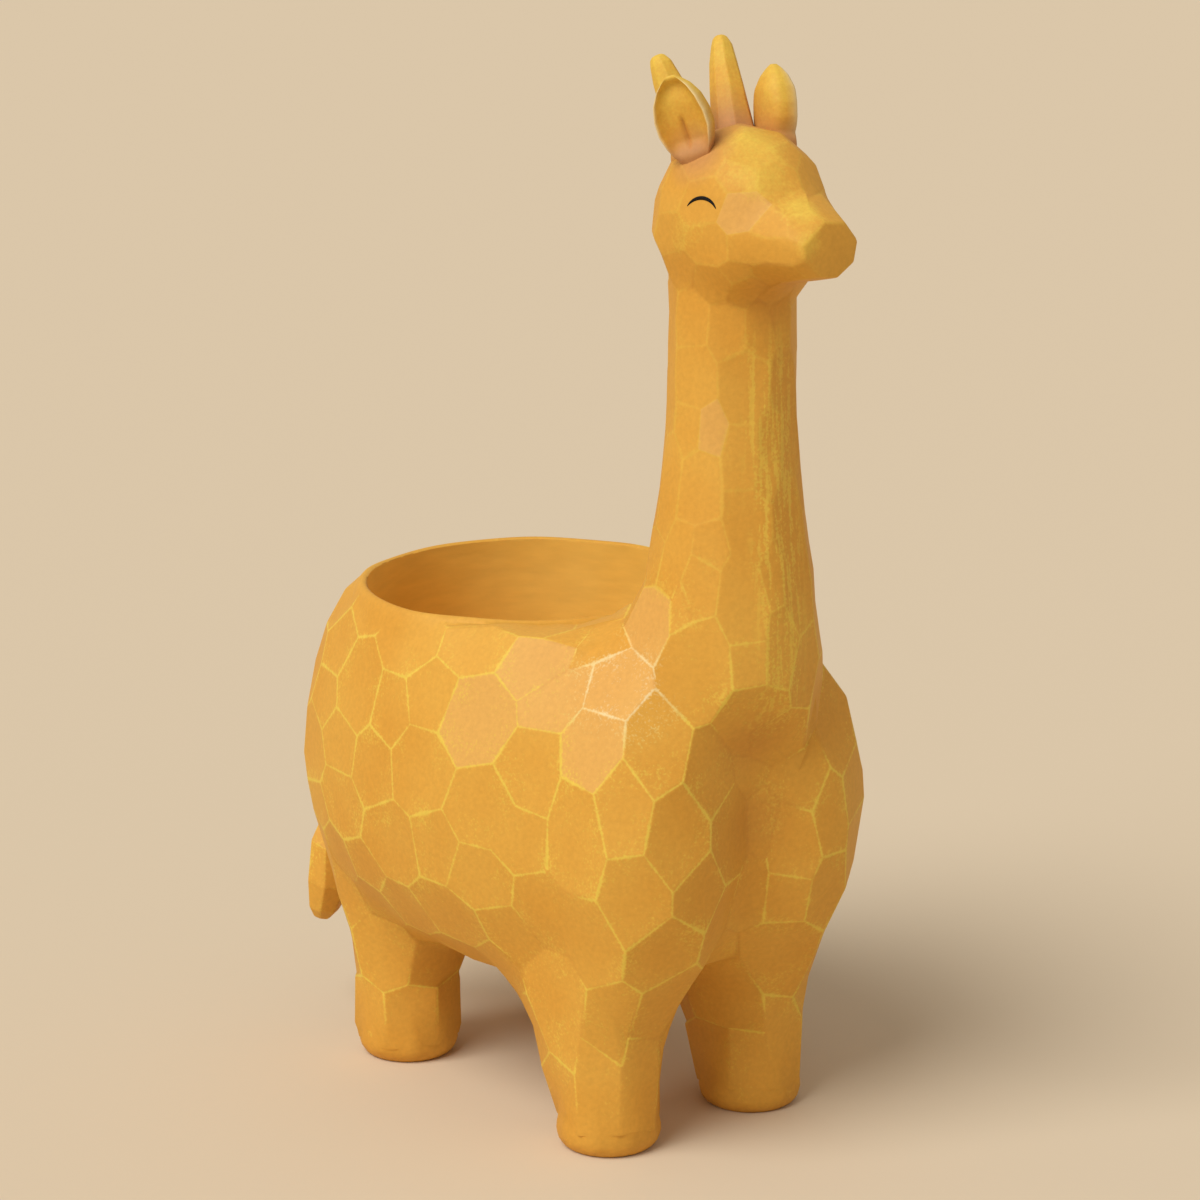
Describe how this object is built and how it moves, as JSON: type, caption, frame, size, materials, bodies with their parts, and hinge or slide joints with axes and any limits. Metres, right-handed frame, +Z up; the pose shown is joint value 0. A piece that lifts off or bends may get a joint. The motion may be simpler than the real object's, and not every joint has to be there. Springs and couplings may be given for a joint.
{
  "type": "animal planter",
  "caption": "Giraffe-shaped planter with whittled facets, a round planting bowl in its back, stub legs, glued ears, horns and tail, and a pull-out drain plug.",
  "frame": {"origin": "on the floor, under the middle of the overall box", "axes": "+Z up, -Y the way that the animal faces, +X its left"},
  "size_m": [0.1024, 0.1672, 0.2566],
  "materials": {
    "resin": "matte",
    "eye_paint": "matte",
    "plug_rubber": "matte"
  },
  "bodies": {
    "planter": {"body_casting": "resin", "ear_left": "resin", "ear_right": "resin", "horn_left": "resin", "horn_right": "resin", "tail": "resin", "eye_line_left": "eye_paint", "eye_line_right": "eye_paint"},
    "plug": {"drain_plug": "plug_rubber"}
  },
  "joints": [
    {"name": "plug_pull", "type": "slide", "parent": "planter", "child": "plug", "axis": [0, 0, -1], "range_m": [0, 0.015]}
  ]
}
